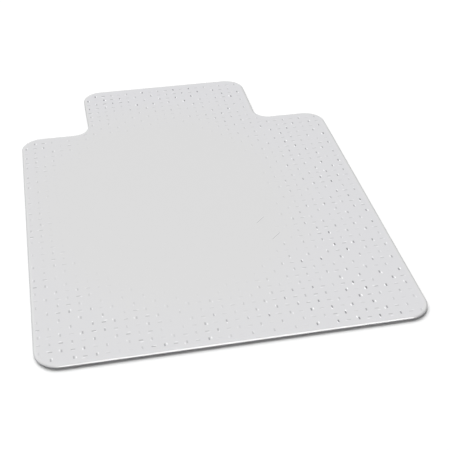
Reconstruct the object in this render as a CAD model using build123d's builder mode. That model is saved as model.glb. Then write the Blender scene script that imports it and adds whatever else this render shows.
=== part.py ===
from build123d import *

import os

# A lipped chair mat for carpet: one T-shaped vinyl sheet that stands on rows of small
# moulded cleats. Millimetres, +Z up, +Y towards the lip that reaches under the desk.
# The origin is on the floor, under the centre of the mat's bounding box.

# Outline of the sheet
MAT_WIDTH = 914.4  # 36 in
MAT_LENGTH = 1219.2  # 48 in, with the lip
MAIN_LENGTH = 965.2  # 38 in, the part under the chair
LIP_WIDTH = 514.4  # 20.25 in, between the desk's pedestals
OUTER_RADIUS = 57.0  # the six outward corners
INNER_RADIUS = 44.5  # the two inward corners, where the lip meets the shoulders

# Section of the sheet
SHEET_THICKNESS = 3.2  # 1/8 in
RIM_WIDTH = 6.0  # the bevel that lets castors roll on, measured across the top
RIM_DROP = 1.8  # how far the bevel falls towards the edge

# Cleats: short bars on a square grid, set crosswise and lengthwise by turns like a
# basket weave, each tapered so that it leaves the mould
CLEAT_HEIGHT = 6.4  # 1/4 in
CLEAT_PITCH_X = 25.1
CLEAT_PITCH_Y = 25.3
COLUMNS = 36
ROWS = 47
FIRST_COLUMN = 11.6  # from the left edge to the first column
FIRST_ROW = 23.4  # from the near edge to the first row
CROSSWISE_SIZE = (9.6, 2.6)  # across the mat and along it, at the root
LENGTHWISE_SIZE = (3.6, 8.6)
CLEAT_DRAFT = 4.0  # degrees
BARE_MARGIN = 10.0  # from the edge to the centre of the nearest cleat

near_edge = -MAT_LENGTH / 2
lip_edge = MAT_LENGTH / 2
left_edge = -MAT_WIDTH / 2
shoulder = near_edge + MAIN_LENGTH

os.makedirs("parts", exist_ok=True)

with BuildSketch() as outline:
    with Locations((0, (near_edge + shoulder) / 2)):
        RectangleRounded(MAT_WIDTH, MAIN_LENGTH, OUTER_RADIUS)
    RectangleRounded(LIP_WIDTH, MAT_LENGTH, OUTER_RADIUS)
    on_shoulder = outline.vertices().group_by(lambda v: abs(v.Y - shoulder))[0]
    inner_corners = on_shoulder.group_by(lambda v: abs(v.X))[0]
    fillet(inner_corners, INNER_RADIUS)

# The sheet is one piece, lip and all, and its underside is flat between the cleats.
with BuildPart() as mat_sheet:
    with BuildSketch(Plane.XY.offset(CLEAT_HEIGHT)):
        add(outline.sketch)
    extrude(amount=SHEET_THICKNESS)
    top_face = mat_sheet.faces().sort_by(Axis.Z)[-1]
    chamfer(top_face.edges(), length=RIM_WIDTH, length2=RIM_DROP, reference=top_face)
mat_sheet.part.label = "mat_sheet"
export_step(mat_sheet.part, "parts/mat_sheet.step")

# The cleats keep clear of the edge, so their centres lie in a smaller copy of the outline.
with BuildSketch() as cleat_field:
    add(outline.sketch)
    offset(amount=-BARE_MARGIN)
field = cleat_field.face()

for row in range(ROWS):
    y = near_edge + FIRST_ROW + row * CLEAT_PITCH_Y
    crosswise = []
    lengthwise = []
    for column in range(COLUMNS):
        x = left_edge + FIRST_COLUMN + column * CLEAT_PITCH_X
        if field.is_inside((x, y, 0)):
            turn = crosswise if (row + column) % 2 == 0 else lengthwise
            turn.append((x, y))

    # A row hangs from the sheet's underside, and its tips are on the floor.
    with BuildPart() as cleat_row:
        with BuildSketch(Plane.XY.offset(CLEAT_HEIGHT)):
            with Locations(*crosswise):
                Rectangle(*CROSSWISE_SIZE)
            with Locations(*lengthwise):
                Rectangle(*LENGTHWISE_SIZE)
        extrude(amount=-CLEAT_HEIGHT, taper=CLEAT_DRAFT)
    cleat_row.part.label = f"cleat_row_{row + 1:02d}"
    step_name = f"parts/{cleat_row.part.label}.step"
    export_step(cleat_row.part, step_name, write_pcurves=False)
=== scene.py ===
import math
from collections import namedtuple

import bpy
import numpy as np
from mathutils import Matrix, Vector


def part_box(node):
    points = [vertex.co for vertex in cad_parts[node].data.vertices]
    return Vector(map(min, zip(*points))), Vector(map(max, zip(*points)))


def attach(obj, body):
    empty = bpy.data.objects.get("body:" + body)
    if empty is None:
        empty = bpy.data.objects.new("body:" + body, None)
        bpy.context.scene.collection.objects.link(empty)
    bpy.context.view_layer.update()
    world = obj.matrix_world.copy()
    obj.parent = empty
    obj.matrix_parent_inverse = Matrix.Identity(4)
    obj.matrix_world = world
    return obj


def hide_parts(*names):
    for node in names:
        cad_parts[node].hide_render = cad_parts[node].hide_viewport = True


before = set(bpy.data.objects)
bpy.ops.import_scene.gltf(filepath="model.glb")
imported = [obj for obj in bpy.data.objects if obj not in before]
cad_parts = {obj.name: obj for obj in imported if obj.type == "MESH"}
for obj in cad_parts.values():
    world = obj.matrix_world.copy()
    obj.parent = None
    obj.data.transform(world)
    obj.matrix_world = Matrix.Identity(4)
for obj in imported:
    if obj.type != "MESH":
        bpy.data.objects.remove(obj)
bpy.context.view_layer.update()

# Lengths are in metres, in the row frame: +X to the right, +Y towards the lip, +Z up and
# the floor at z = 0.
MM = 0.001
SHEET = "mat_sheet"
SHEET_LOW, SHEET_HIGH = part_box(SHEET)
CLEAT_ROWS = sorted(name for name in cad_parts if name.startswith("cleat_row_"))

# The outline of the sheet, as part.py has it
MAIN_LENGTH = 965.2 * MM
LIP_HALF_WIDTH = 257.2 * MM
OUTER_RADIUS = 57.0 * MM
INNER_RADIUS = 44.5 * MM
SHOULDER_Y = SHEET_LOW.y + MAIN_LENGTH
ARC_STEPS = 24

# The rim's section: a worn-in curve through the CAD bevel, then a side with softened edges
RIM_WIDTH = 6.0 * MM
RIM_DROP = 1.8 * MM
RIM_STEPS = 8
EDGE_ROUND = 0.25 * MM
ROUND_MIDDLE = 0.3  # from either face to the middle of a quarter round, in radii
FLAT_INSET = 3.0 * RIM_WIDTH  # from here inwards the top and the underside are one flat face
TOP_BORDER = 1.3 * RIM_WIDTH  # from here outwards the top has the rim's material

# Material slots of the sheet. Counted from the top, its first rings of faces are top and
# its last are underside.
TOP_SLOT, RIM_SLOT, UNDER_SLOT = 0, 1, 2
TOP_RINGS = 1
UNDER_RINGS = 2

# A cleat flares where it leaves the sheet, and has drafted sides and a rounded tip. Each
# profile lists (height, offset of the side): the tip's from the tip, the root's from the root.
FLARE = 0.25 * MM
TIP_ROUND = 0.6 * MM
TIP_PROFILE = ((0.0, -1.0), (0.1, -0.55), (0.4, -0.2), (1.0, 0.0))  # in TIP_ROUND
ROOT_PROFILE = ((-2.0, 0.0), (-0.8, 0.3), (0.0, 1.0))  # in FLARE
SUNK = 0.15 * MM  # how far the root goes on inside the sheet, so that no gap shows
CORNER_SHARE = 0.9  # the radius of a cleat's corners, as a share of its smaller half size
CORNER_STEPS = 2
BETWEEN_CLEATS = 10 * MM  # a wider step than this in x starts the next cleat of a row


# ---------------------------------------------------------------- meshes


def new_piece(name, verts, faces, materials, slots=None):
    """A smooth-shaded object in the scene, with one material slot for each face in slots."""
    mesh = bpy.data.meshes.new(name)
    mesh.from_pydata([tuple(v) for v in verts], [], faces)
    for material in materials:
        mesh.materials.append(material)
    if slots:
        mesh.polygons.foreach_set("material_index", slots)
    mesh.polygons.foreach_set("use_smooth", [True] * len(mesh.polygons))
    mesh.validate()
    mesh.update()
    piece = bpy.data.objects.new(name, mesh)
    bpy.context.scene.collection.objects.link(piece)
    return piece


def sheet_corners():
    """Arc centre, radius, start and end angle of each corner, counterclockwise from near right.

    An inward corner has a negative radius, because its arc grows as the outline is inset."""
    right = SHEET_HIGH.x
    near = SHEET_LOW.y
    far = SHEET_HIGH.y
    inward = LIP_HALF_WIDTH + INNER_RADIUS
    quarter = math.pi / 2
    half = [
        (right - OUTER_RADIUS, near + OUTER_RADIUS, OUTER_RADIUS, -quarter, 0),
        (right - OUTER_RADIUS, SHOULDER_Y - OUTER_RADIUS, OUTER_RADIUS, 0, quarter),
        (inward, SHOULDER_Y + INNER_RADIUS, -INNER_RADIUS, 3 * quarter, 2 * quarter),
        (LIP_HALF_WIDTH - OUTER_RADIUS, far - OUTER_RADIUS, OUTER_RADIUS, 0, quarter),
    ]
    mirrored = [(-x, y, r, math.pi - b, math.pi - a) for x, y, r, a, b in reversed(half)]
    return half + mirrored


def outline(inset):
    """The sheet's outline as points, moved inwards by inset."""
    points = []
    for x, y, radius, start, end in sheet_corners():
        reach = abs(radius - inset)
        for angle in np.linspace(start, end, ARC_STEPS + 1):
            points.append((x + reach * math.cos(angle), y + reach * math.sin(angle)))
    return points


def rim_section():
    """(inset, z) from the flat of the top, over the rim and round to the flat underside."""
    top = SHEET_HIGH.z
    bottom = SHEET_LOW.z
    section = [(FLAT_INSET, top), (TOP_BORDER, top)]
    for step in range(RIM_STEPS + 1):
        share = step / RIM_STEPS
        inset = RIM_WIDTH * (1 - share) + EDGE_ROUND * share
        section.append((inset, top - RIM_DROP * share**2))
    side_top = top - RIM_DROP - EDGE_ROUND
    middle = ROUND_MIDDLE * EDGE_ROUND
    section += [
        (middle, side_top + EDGE_ROUND - middle),
        (0.0, side_top),
        (0.0, bottom + EDGE_ROUND),
        (middle, bottom + middle),
        (EDGE_ROUND, bottom),
        (RIM_WIDTH, bottom),
        (FLAT_INSET, bottom),
    ]
    return section


def ring_slot(ring, rings):
    """The material slot of a ring of the sheet's faces, counted from the top."""
    if ring < TOP_RINGS:
        return TOP_SLOT
    if ring < rings - UNDER_RINGS:
        return RIM_SLOT
    return UNDER_SLOT


def make_sheet(materials):
    """The whole sheet as one closed mesh: rings of the outline down the rim's section."""
    section = rim_section()
    verts = []
    for inset, z in section:
        verts += [(x, y, z) for x, y in outline(inset)]
    count = len(verts) // len(section)
    rings = len(section) - 1
    faces = [tuple(range(count))]
    slots = [TOP_SLOT]
    for ring in range(rings):
        upper = ring * count
        lower = upper + count
        for i in range(count):
            j = (i + 1) % count
            faces.append((upper + i, lower + i, lower + j, upper + j))
            slots.append(ring_slot(ring, rings))
    last = rings * count
    faces.append(tuple(range(last + count - 1, last - 1, -1)))
    slots.append(UNDER_SLOT)
    return new_piece("vinyl_sheet", verts, faces, materials, slots)


Cleat = namedtuple("Cleat", "centre half_root half_tip tip_z root_z")


def cleats_of(node):
    """The cleats of a CAD row from left to right, measured on its mesh."""
    points = np.array([v.co[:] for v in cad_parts[node].data.vertices])
    points = points[np.argsort(points[:, 0])]
    cuts = np.where(np.diff(points[:, 0]) > BETWEEN_CLEATS)[0] + 1
    found = []
    for cleat in np.split(points, cuts):
        low = cleat.min(0)
        high = cleat.max(0)
        centre = (low + high) / 2
        tip = cleat[cleat[:, 2] < centre[2]]
        half_root = (high - low)[:2] / 2
        half_tip = (tip.max(0) - tip.min(0))[:2] / 2
        found.append(Cleat(centre[:2], half_root, half_tip, low[2], high[2]))
    return found


def bar_ring(half, z):
    """A bar's cross-section with round corners, about the origin."""
    radius = CORNER_SHARE * min(half)
    points = []
    for quarter in range(4):
        side_x = 1 if quarter in (0, 3) else -1
        side_y = 1 if quarter in (0, 1) else -1
        for step in range(CORNER_STEPS + 1):
            angle = (quarter + step / CORNER_STEPS) * math.pi / 2
            x = side_x * (half[0] - radius) + radius * math.cos(angle)
            y = side_y * (half[1] - radius) + radius * math.sin(angle)
            points.append((x, y, z))
    return np.array(points)


def make_cleat(cleat):
    """One cleat about the origin: vertices and faces, closed at both ends."""
    draft = (cleat.half_root - cleat.half_tip) / (cleat.root_z - cleat.tip_z)
    section = [(cleat.tip_z + z * TIP_ROUND, side * TIP_ROUND) for z, side in TIP_PROFILE]
    section += [(cleat.root_z + z * FLARE, side * FLARE) for z, side in ROOT_PROFILE]
    section.append((cleat.root_z + SUNK, FLARE))
    rings = []
    for z, offset in section:
        half = cleat.half_tip + draft * (z - cleat.tip_z) + offset
        rings.append(bar_ring(half, z))
    count = len(rings[0])
    faces = [tuple(range(count - 1, -1, -1))]
    for ring in range(len(rings) - 1):
        lower = ring * count
        upper = lower + count
        for i in range(count):
            j = (i + 1) % count
            faces.append((lower + i, lower + j, upper + j, upper + i))
    last = (len(rings) - 1) * count
    faces.append(tuple(range(last, last + count)))
    return np.concatenate(rings), faces


def make_cleat_row(node, material):
    """All the cleats of a CAD row as one piece, each a closed form of its own."""
    verts = []
    faces = []
    start = 0
    for cleat in cleats_of(node):
        points, cleat_faces = make_cleat(cleat)
        verts.append(points + (*cleat.centre, 0))
        faces += [tuple(start + i for i in face) for face in cleat_faces]
        start += len(points)
    return new_piece("moulded_" + node, np.concatenate(verts), faces, [material])


# ---------------------------------------------------------------- materials

VINYL_IOR = 1.52
FINE_BUMP = (0.1, 0.1 * MM)  # strength and distance


class Nodes:
    """A small helper that makes and links the shader nodes of one material."""

    def __init__(self, name):
        self.material = bpy.data.materials.new(name)
        self.material.use_nodes = True
        self.tree = self.material.node_tree
        self.tree.nodes.clear()
        output = self.tree.nodes.new("ShaderNodeOutputMaterial")
        self.bsdf = self.tree.nodes.new("ShaderNodeBsdfPrincipled")
        self.tree.links.new(self.bsdf.outputs["BSDF"], output.inputs["Surface"])
        self.place = self.add("ShaderNodeTexCoord").outputs["Object"]

    def add(self, kind, **settings):
        """A new node of this kind."""
        node = self.tree.nodes.new(kind)
        for key, value in settings.items():
            setattr(node, key, value)
        return node

    def put(self, socket, value):
        """Links value to the socket if it is another node's output, else sets it."""
        if isinstance(value, bpy.types.NodeSocket):
            self.tree.links.new(value, socket)
        else:
            socket.default_value = value

    def math(self, operation, a, b=0.0):
        node = self.add("ShaderNodeMath", operation=operation)
        self.put(node.inputs[0], a)
        self.put(node.inputs[1], b)
        return node.outputs[0]

    def plus(self, a, b):
        return self.math("ADD", a, b)

    def minus(self, a, b):
        return self.math("SUBTRACT", a, b)

    def times(self, a, b):
        return self.math("MULTIPLY", a, b)

    def over(self, a, b):
        return self.math("DIVIDE", a, b)

    def larger(self, a, b):
        return self.math("MAXIMUM", a, b)

    def absolute(self, a):
        return self.math("ABSOLUTE", a)

    def length(self, x, y):
        return self.math("SQRT", self.plus(self.times(x, x), self.times(y, y)))

    def ramp(self, value, low, high, to_low=0.0, to_high=1.0):
        """A smooth step from to_low, where value is low, to to_high, where it is high."""
        node = self.add("ShaderNodeMapRange", interpolation_type="SMOOTHSTEP")
        for socket, given in zip(node.inputs, (value, low, high, to_low, to_high)):
            self.put(socket, given)
        return node.outputs[0]

    def blend(self, share, a, b):
        """The number a where share is 0, b where it is 1."""
        node = self.add("ShaderNodeMix", data_type="FLOAT")
        for socket, given in zip(node.inputs[0:1] + node.inputs[2:4], (share, a, b)):
            self.put(socket, given)
        return node.outputs[0]

    def mix(self, share, a, b):
        """The colour a where share is 0, b where it is 1."""
        node = self.add("ShaderNodeMix", data_type="RGBA")
        self.put(node.inputs["Factor"], share)
        self.put(node.inputs[6], (*a, 1) if isinstance(a, tuple) else a)
        self.put(node.inputs[7], (*b, 1) if isinstance(b, tuple) else b)
        return node.outputs[2]

    def axes(self):
        """x, y and z of the point that is shaded."""
        split = self.add("ShaderNodeSeparateXYZ")
        self.put(split.inputs[0], self.place)
        return split.outputs[:]

    def noise(self, scale, detail=2.0, rough=0.5):
        """Soft noise between 0 and 1."""
        node = self.add("ShaderNodeTexNoise")
        self.put(node.inputs["Vector"], self.place)
        node.inputs["Scale"].default_value = scale
        node.inputs["Detail"].default_value = detail
        node.inputs["Roughness"].default_value = rough
        return node.outputs["Fac"]

    def swing(self, scale, width, detail=4.0):
        """Noise about zero."""
        return self.times(self.minus(self.noise(scale, detail), 0.5), width)

    def chances(self, column, row):
        """Three random numbers between 0 and 1, the same all over one cell of a grid."""
        cell = self.add("ShaderNodeCombineXYZ")
        self.put(cell.inputs[0], column)
        self.put(cell.inputs[1], row)
        chance = self.add("ShaderNodeTexWhiteNoise", noise_dimensions="2D")
        self.put(chance.inputs["Vector"], cell.outputs[0])
        split = self.add("ShaderNodeSeparateColor")
        self.put(split.inputs[0], chance.outputs["Color"])
        return split.outputs[:]

    def bump(self, height, strength, distance, under=None):
        """A normal bent by height, on top of the normal under."""
        node = self.add("ShaderNodeBump")
        node.inputs["Strength"].default_value = strength
        node.inputs["Distance"].default_value = distance
        self.put(node.inputs["Height"], height)
        if under is not None:
            self.put(node.inputs["Normal"], under)
        return node.outputs["Normal"]

    def vinyl(self, colour, roughness, normal):
        """The material, finished as vinyl."""
        self.put(self.bsdf.inputs["Base Color"], colour)
        self.put(self.bsdf.inputs["Roughness"], roughness)
        self.put(self.bsdf.inputs["Normal"], normal)
        self.bsdf.inputs["IOR"].default_value = VINYL_IOR
        return self.material


# The haze: castors have scuffed the middle of the mat, so the painted shade of the cleats shows
# only round it.
# Each ramp is (low, high, value at low, value at high), or just (low, high) from 0 to 1.
HAZE_CENTRE = (-0.083, -0.035)
HAZE_HALF = (0.322, 0.425)
HAZE_RAMP = (0.8, 1.35)  # in half sizes of the haze
HAZE_WAVER = 0.25
RIPPLE_SCALE = 7.0
RIGHTWARD_RAMP = (0.0, SHEET_HIGH.x, 0.62, 0.85)
LIPWARD_RAMP = (0.43, 0.56, 1.0, 1.7)


def clearness(n, x, y):
    """0 in the scuffed middle, about 1 where the sheet is clear, more at the end of the lip."""
    across = n.over(n.minus(x, HAZE_CENTRE[0]), HAZE_HALF[0])
    along = n.over(n.minus(y, HAZE_CENTRE[1]), HAZE_HALF[1])
    wavering = n.plus(n.length(across, along), n.swing(RIPPLE_SCALE, HAZE_WAVER))
    ring = n.ramp(wavering, *HAZE_RAMP)
    rightward = n.ramp(x, *RIGHTWARD_RAMP)
    lipward = n.ramp(y, *LIPWARD_RAMP)
    return n.times(ring, n.times(rightward, lipward))


# The cleats' grid, read from the rows themselves. The cleats stand crosswise and lengthwise
# by turns, and the second row is the first whole one: its first cleat stands lengthwise, and
# the grid's first place is a pitch nearer.
BARE_MARGIN = 10.0 * MM  # from the edge to the centre of the nearest cleat, as in part.py
SECOND_ROW = cleats_of(CLEAT_ROWS[1])
THIRD_ROW = cleats_of(CLEAT_ROWS[2])
LAST_ROW = cleats_of(CLEAT_ROWS[-1])
LENGTHWISE_HALF = SECOND_ROW[0].half_root
CROSSWISE_HALF = SECOND_ROW[1].half_root
FIRST_X, SECOND_Y = SECOND_ROW[0].centre
FIRST_Y = 2 * SECOND_Y - THIRD_ROW[0].centre[1]
PITCH_X = (SECOND_ROW[-1].centre[0] - FIRST_X) / (len(SECOND_ROW) - 1)
PITCH_Y = (LAST_ROW[0].centre[1] - SECOND_Y) / (len(CLEAT_ROWS) - 2)


def keeps_margin(n, x, y, half_width, far_y):
    """1 where (x, y) keeps the margin in the rounded rectangle from the near edge, else 0."""
    middle_y = (SHEET_LOW.y + far_y) / 2
    half_length = (far_y - SHEET_LOW.y) / 2
    off_x = n.minus(n.absolute(x), half_width - OUTER_RADIUS)
    off_y = n.minus(n.absolute(n.minus(y, middle_y)), half_length - OUTER_RADIUS)
    reach = n.length(n.larger(off_x, 0.0), n.larger(off_y, 0.0))
    return n.math("LESS_THAN", reach, OUTER_RADIUS - BARE_MARGIN)


def keeps_inner_margin(n, x, y):
    """1 where (x, y) keeps the margin from the arcs beside the lip, else 0."""
    to_arc_x = n.minus(LIP_HALF_WIDTH + INNER_RADIUS, n.absolute(x))
    to_arc_y = n.minus(SHOULDER_Y + INNER_RADIUS, y)
    before = n.math("GREATER_THAN", n.math("MINIMUM", to_arc_x, to_arc_y), 0.0)
    away = n.math("GREATER_THAN", n.length(to_arc_x, to_arc_y), INNER_RADIUS + BARE_MARGIN)
    return n.times(before, away)


def has_cleat(n, x, y):
    """1 where the grid's place (x, y) has a cleat, else 0."""
    main = keeps_margin(n, x, y, SHEET_HIGH.x, SHOULDER_Y)
    lip = keeps_margin(n, x, y, LIP_HALF_WIDTH, SHEET_HIGH.y)
    return n.larger(n.larger(main, lip), keeps_inner_margin(n, x, y))


# How dark a mark of painted shade is: by chance, by where it lies from left to right, and by soft
# patches
CROSSWISE_BY_CHANCE = (0.1, 0.9)
CROSSWISE_BY_X = (-0.4, 0.1, 1.0, 0.55)
LENGTHWISE_BY_CHANCE = (0.0, 0.8, 0.3, 0.95)
LENGTHWISE_BY_X = (-0.4, 0.1, 0.75, 1.0)
PATCH_SCALE = 11.0
PATCH_RAMP = (0.38, 0.6, 0.75, 1.3)

# The edge of a mark of painted shade, and the glint, a painted highlight, beside it in half sizes
# of the mark
ROOT_SHADE_RAMP = (-0.8 * MM, 0.8 * MM, 1.0, 0.0)
GLINT_RAMP = (0.4, 1.2, 1.0, 0.0)
GLINT_THROW = 12 * MM  # the glints lie up to half of this to either side


def shade_strength(n, x, lengthwise, strength):
    """How dark a cleat's mark of painted shade is, from its place, its turn and its random
    strength.
    """
    # From left to right the painted shade changes as the shade on the cleats' flanks would.
    crosswise_shade = n.times(n.ramp(strength, *CROSSWISE_BY_CHANCE), n.ramp(x, *CROSSWISE_BY_X))
    lengthwise_shade = n.times(n.ramp(strength, *LENGTHWISE_BY_CHANCE), n.ramp(x, *LENGTHWISE_BY_X))
    return n.blend(lengthwise, crosswise_shade, lengthwise_shade)


def root_shade_and_glint(n, x, y):
    """(root, glint): painted shade where a cleat's root shows through the sheet, and the painted
    highlight beside it.
    """
    column = n.over(n.minus(x, FIRST_X), PITCH_X)
    row = n.over(n.minus(y, FIRST_Y), PITCH_Y)
    whole_column = n.math("ROUND", column)
    whole_row = n.math("ROUND", row)
    from_x = n.times(n.minus(column, whole_column), PITCH_X)
    from_y = n.times(n.minus(row, whole_row), PITCH_Y)
    lengthwise = n.math("FLOORED_MODULO", n.plus(whole_column, whole_row), 2.0)
    half_x = n.blend(lengthwise, CROSSWISE_HALF[0], LENGTHWISE_HALF[0])
    half_y = n.blend(lengthwise, CROSSWISE_HALF[1], LENGTHWISE_HALF[1])
    strength, aside, ahead = n.chances(whole_column, whole_row)
    painted_shade = shade_strength(n, x, lengthwise, strength)

    outside = n.larger(n.minus(n.absolute(from_x), half_x), n.minus(n.absolute(from_y), half_y))
    root = n.times(n.ramp(outside, *ROOT_SHADE_RAMP), painted_shade)

    glint_x = n.minus(from_x, n.times(n.minus(aside, 0.5), GLINT_THROW))
    glint_y = n.minus(from_y, n.times(n.minus(ahead, 0.5), GLINT_THROW))
    off_glint = n.length(n.over(glint_x, half_x), n.over(glint_y, half_y))
    glint = n.times(n.ramp(off_glint, *GLINT_RAMP), painted_shade)

    centre_x = n.plus(n.times(whole_column, PITCH_X), FIRST_X)
    centre_y = n.plus(n.times(whole_row, PITCH_Y), FIRST_Y)
    patch = n.ramp(n.noise(PATCH_SCALE), *PATCH_RAMP)
    shown = n.times(n.times(has_cleat(n, centre_x, centre_y), patch), clearness(n, x, y))
    return n.times(root, shown), n.times(glint, shown)


# Two short scratches that something dragged across the top has left, side by side: their groove's
# dark is painted shade, their lips' pale painted highlight
SCRATCH_CENTRES = ((0.146, -0.170), (0.1705, -0.245))
SCRATCH_TURN = math.radians(43)
SCRATCH_HALF_LENGTH = 20 * MM
SCRATCH_FADE = 0.7  # where a scratch starts to fade, as a share of its half length
GROOVE_HALF_WIDTH = 1.1 * MM
GROOVE_EDGE = (0.5, 1.5)  # in half widths
# A groove's darkness is painted shade, and the burr's paleness painted highlight.
GROOVE_SHADE = 0.66
BURR_HALF_WIDTH = 3.0 * MM
BURR_HIGHLIGHT = 0.4


def scratches(n, x, y):
    """(groove, burr): the painted shade of each scratch's groove, and the painted highlight on the
    lips beside it.
    """
    turn_x = math.cos(SCRATCH_TURN)
    turn_y = math.sin(SCRATCH_TURN)
    edge_low, edge_high = (share * GROOVE_HALF_WIDTH for share in GROOVE_EDGE)
    groove_shade = 0.0
    burr_highlight = 0.0
    for centre_x, centre_y in SCRATCH_CENTRES:
        from_x = n.minus(x, centre_x)
        from_y = n.minus(y, centre_y)
        along = n.absolute(n.plus(n.times(from_x, turn_x), n.times(from_y, turn_y)))
        aside = n.absolute(n.minus(n.times(from_y, turn_x), n.times(from_x, turn_y)))
        kept = n.ramp(along, SCRATCH_FADE * SCRATCH_HALF_LENGTH, SCRATCH_HALF_LENGTH, 1.0, 0.0)
        painted_shade = n.ramp(aside, edge_low, edge_high, GROOVE_SHADE, 0.0)
        painted_highlight = n.ramp(aside, GROOVE_HALF_WIDTH, BURR_HALF_WIDTH, BURR_HIGHLIGHT, 0.0)
        groove_shade = n.larger(groove_shade, n.times(painted_shade, kept))
        burr_highlight = n.larger(burr_highlight, n.times(painted_highlight, kept))
    return groove_shade, burr_highlight


HAZY_COLOUR = (0.525, 0.524, 0.525)
CLEAR_COLOUR = (0.528, 0.527, 0.542)
# The dark of the marks is painted shade, and the pale of the glints and burrs painted highlight.
PAINTED_SHADE_COLOUR = (0.15, 0.15, 0.16)
PAINTED_HIGHLIGHT_COLOUR = (0.83, 0.83, 0.84)
TOP_ROUGHNESS = 0.6
TOP_SHEEN_NOISE = (60.0, 0.08)  # scale and width
RIPPLE_BUMP = (0.03, 2.0 * MM)
MARK_BUMP = (0.3, 0.1 * MM)
GRAIN_NOISE = (900.0, 3.0, 0.6)
GRAIN_BUMP = (0.2, 0.1 * MM)


def sheet_material():
    """The grained top: cleat roots painted on it as shade, with a painted highlight beside each,
    wherever it isn't scuffed, and scratches.
    """
    n = Nodes("vinyl_top_with_painted_shade")
    x, y, _ = n.axes()
    root, glint = root_shade_and_glint(n, x, y)
    groove_shade, burr_highlight = scratches(n, x, y)
    # The roots' and grooves' darkness is painted shade; the glints' and burrs' paleness is painted
    # highlight.
    painted_shade = n.larger(root, groove_shade)
    painted_highlight = n.larger(glint, burr_highlight)
    tone = n.mix(clearness(n, x, y), HAZY_COLOUR, CLEAR_COLOUR)
    tone = n.mix(painted_highlight, tone, PAINTED_HIGHLIGHT_COLOUR)
    tone = n.mix(painted_shade, tone, PAINTED_SHADE_COLOUR)
    roughness = n.plus(n.swing(*TOP_SHEEN_NOISE), TOP_ROUGHNESS)
    ripple = n.bump(n.noise(RIPPLE_SCALE), *RIPPLE_BUMP)
    sunk = n.bump(n.minus(1.0, painted_shade), *MARK_BUMP, under=ripple)
    grain = n.bump(n.noise(*GRAIN_NOISE), *GRAIN_BUMP, under=sunk)
    return n.vinyl(tone, roughness, grain)


# The rim's darker tone towards the bottom is painted shade, on the side and the outer bevel.
RIM_SHADE = (0.36, 0.36, 0.37)
RIM_PALE = (0.575, 0.575, 0.58)
RIM_SHADE_RAMP = (SHEET_LOW.z + 0.6 * MM, SHEET_HIGH.z)
RIM_STREAK_SCALE = 240.0
RIM_ROUGHNESS = 0.18
RIM_ROUGHNESS_SPREAD = 0.08


def rim_material():
    """The rim and side of the sheet, painted darker towards the bottom: painted shade where one
    looks into the vinyl along its width.
    """
    n = Nodes("vinyl_rim_with_painted_shade")
    tone = n.mix(n.ramp(n.axes()[2], *RIM_SHADE_RAMP), RIM_SHADE, RIM_PALE)
    streaks = n.noise(RIM_STREAK_SCALE)
    roughness = n.plus(n.times(streaks, RIM_ROUGHNESS_SPREAD), RIM_ROUGHNESS)
    return n.vinyl(tone, roughness, n.bump(streaks, *FINE_BUMP))


UNDER_DARK = (0.58, 0.58, 0.59)
UNDER_PALE = (0.64, 0.64, 0.65)
UNDER_CLOUD_NOISE = (12.0, 3.0)
UNDER_GRAIN_SCALE = 400.0
UNDER_ROUGHNESS = 0.25
UNDER_ROUGHNESS_SPREAD = 0.15


def under_material():
    """The smooth underside between the cleats."""
    n = Nodes("vinyl_underside")
    cloud = n.noise(*UNDER_CLOUD_NOISE)
    tone = n.mix(cloud, UNDER_DARK, UNDER_PALE)
    roughness = n.plus(n.times(cloud, UNDER_ROUGHNESS_SPREAD), UNDER_ROUGHNESS)
    return n.vinyl(tone, roughness, n.bump(n.noise(UNDER_GRAIN_SCALE), *FINE_BUMP))


# The cleats' darker tones at the root are painted shade under the sheet; the pale tone towards the
# tip is their own.
CLEAT_ROOT_SHADE = (0.40, 0.40, 0.41)
CLEAT_ROOT_SHADE_GREY = (0.48, 0.48, 0.49)
CLEAT_PALE = (0.66, 0.66, 0.68)
CLEAT_ROOT_SHADE_RAMP = (SHEET_LOW.z - 3.0 * MM, SHEET_LOW.z)
CLEAT_CLOUD_SCALE = 35.0
CLEAT_CLOUD_RAMP = (0.35, 0.65)
CLEAT_GRAIN_SCALE = 1500.0
CLEAT_ROUGHNESS = 0.25
CLEAT_ROUGHNESS_SPREAD = 0.1


def cleat_material():
    """Clear vinyl bars: painted shade at the root, where light is trapped under the sheet, pale
    towards the tip.
    """
    n = Nodes("cleat_vinyl")
    root = n.ramp(n.axes()[2], *CLEAT_ROOT_SHADE_RAMP)
    cloud = n.ramp(n.noise(CLEAT_CLOUD_SCALE), *CLEAT_CLOUD_RAMP)
    tone = n.mix(root, CLEAT_PALE, n.mix(cloud, CLEAT_ROOT_SHADE, CLEAT_ROOT_SHADE_GREY))
    roughness = n.plus(n.times(cloud, CLEAT_ROUGHNESS_SPREAD), CLEAT_ROUGHNESS)
    return n.vinyl(tone, roughness, n.bump(n.noise(CLEAT_GRAIN_SCALE), *FINE_BUMP))


FLOOR_DARK = (0.82, 0.82, 0.82)
FLOOR_PALE = (0.83, 0.83, 0.83)
FLOOR_CLOUD_SCALE = 2.0
FLOOR_ROUGHNESS = 0.9


def floor_material():
    """The white, matt floor of the studio."""
    n = Nodes("studio_floor")
    n.put(n.bsdf.inputs["Base Color"], n.mix(n.noise(FLOOR_CLOUD_SCALE), FLOOR_DARK, FLOOR_PALE))
    n.bsdf.inputs["Roughness"].default_value = FLOOR_ROUGHNESS
    n.bsdf.inputs["Specular IOR Level"].default_value = 0.0
    return n.material


# ---------------------------------------------------------------- stage

FLOOR_HALF = 12.0
CAMERA_AIM = Vector((0.0505, -0.1744, SHEET_HIGH.z))
CAMERA_DISTANCE = 2.425
CAMERA_AZIMUTH = math.radians(11.67)  # turned to the right of +Y
CAMERA_ELEVATION = math.radians(36.57)
CAMERA_ROLL = math.radians(0.30)
CAMERA_LENS = 74.42

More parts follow.
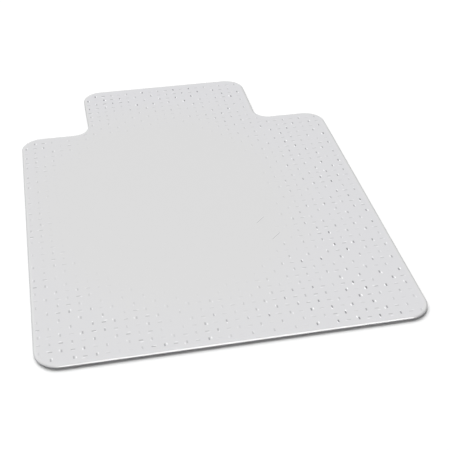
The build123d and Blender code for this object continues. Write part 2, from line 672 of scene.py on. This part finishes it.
# The white background that the camera sees is brighter than the light that it gives. Two
# soft lamps, all angles in degrees, do the rest: one lights, one only glances off the vinyl.
WORLD_LIGHT = 0.36
WORLD_SEEN = 1.0
BACK_SOFTBOX = {"azimuth": -20, "elevation": 56, "strength": 3.56, "width": 68}
TOP_SOFTBOX = {"azimuth": 106, "elevation": 80, "strength": 3.5, "width": 34}


def make_floor():
    """A square floor, far wider than the view."""
    corners = [(-1, -1), (1, -1), (1, 1), (-1, 1)]
    verts = [(x * FLOOR_HALF, y * FLOOR_HALF, 0.0) for x, y in corners]
    floor = new_piece("floor", verts, [(0, 1, 2, 3)], [floor_material()])


def make_camera():
    """The photo's camera, worked out from the mat's outline in it."""
    level = math.cos(CAMERA_ELEVATION)
    ahead_x = math.sin(CAMERA_AZIMUTH) * level
    ahead_y = math.cos(CAMERA_AZIMUTH) * level
    look = Vector((ahead_x, ahead_y, -math.sin(CAMERA_ELEVATION)))
    flat_right = look.cross(Vector((0, 0, 1))).normalized()
    flat_up = flat_right.cross(look)
    right = math.cos(CAMERA_ROLL) * flat_right + math.sin(CAMERA_ROLL) * flat_up
    up = math.cos(CAMERA_ROLL) * flat_up - math.sin(CAMERA_ROLL) * flat_right
    data = bpy.data.cameras.new("camera")
    data.lens = CAMERA_LENS
    camera = bpy.data.objects.new("camera", data)
    bpy.context.scene.collection.objects.link(camera)
    turn = Matrix((right, up, -look)).transposed().to_4x4()
    camera.matrix_world = Matrix.Translation(CAMERA_AIM - look * CAMERA_DISTANCE) @ turn
    bpy.context.scene.camera = camera


def make_lamp(name, azimuth, elevation, strength, width):
    """A soft lamp far away: azimuth, to the right of +Y, and elevation say where it stands."""
    data = bpy.data.lights.new(name, "SUN")
    data.energy = strength
    data.angle = math.radians(width)
    lamp = bpy.data.objects.new(name, data)
    bpy.context.scene.collection.objects.link(lamp)
    turn = math.radians(azimuth)
    rise = math.radians(elevation)
    level = math.cos(rise)
    towards = Vector((math.sin(turn) * level, math.cos(turn) * level, math.sin(rise)))
    lamp.rotation_mode = "QUATERNION"
    lamp.rotation_quaternion = towards.to_track_quat("Z", "Y")
    return lamp


def make_world():
    """A white world, brighter to the camera than to the mat."""
    world = bpy.data.worlds.new("studio")
    world.use_nodes = True
    tree = world.node_tree
    background = tree.nodes["Background"]
    background.inputs["Color"].default_value = (1, 1, 1, 1)
    seen = tree.nodes.new("ShaderNodeLightPath").outputs["Is Camera Ray"]
    strength = tree.nodes.new("ShaderNodeMapRange")
    strength.inputs["To Min"].default_value = WORLD_LIGHT
    strength.inputs["To Max"].default_value = WORLD_SEEN
    tree.links.new(seen, strength.inputs["Value"])
    tree.links.new(strength.outputs[0], background.inputs["Strength"])
    bpy.context.scene.world = world


def make_lights():
    """The world, the lamp that lights the mat and the one that it mirrors."""
    make_world()
    back = make_lamp("back_softbox", **BACK_SOFTBOX)
    back.visible_glossy = False
    top = make_lamp("top_softbox", **TOP_SOFTBOX)
    top.visible_diffuse = False
    bpy.context.scene.view_settings.view_transform = "Standard"


# ---------------------------------------------------------------- the mat

sheet = make_sheet([sheet_material(), rim_material(), under_material()])
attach(sheet, "root")
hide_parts(SHEET)

cleat_vinyl = cleat_material()
for node in CLEAT_ROWS:
    row = make_cleat_row(node, cleat_vinyl)
    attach(row, "root")
    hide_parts(node)

make_floor()
make_camera()
make_lights()
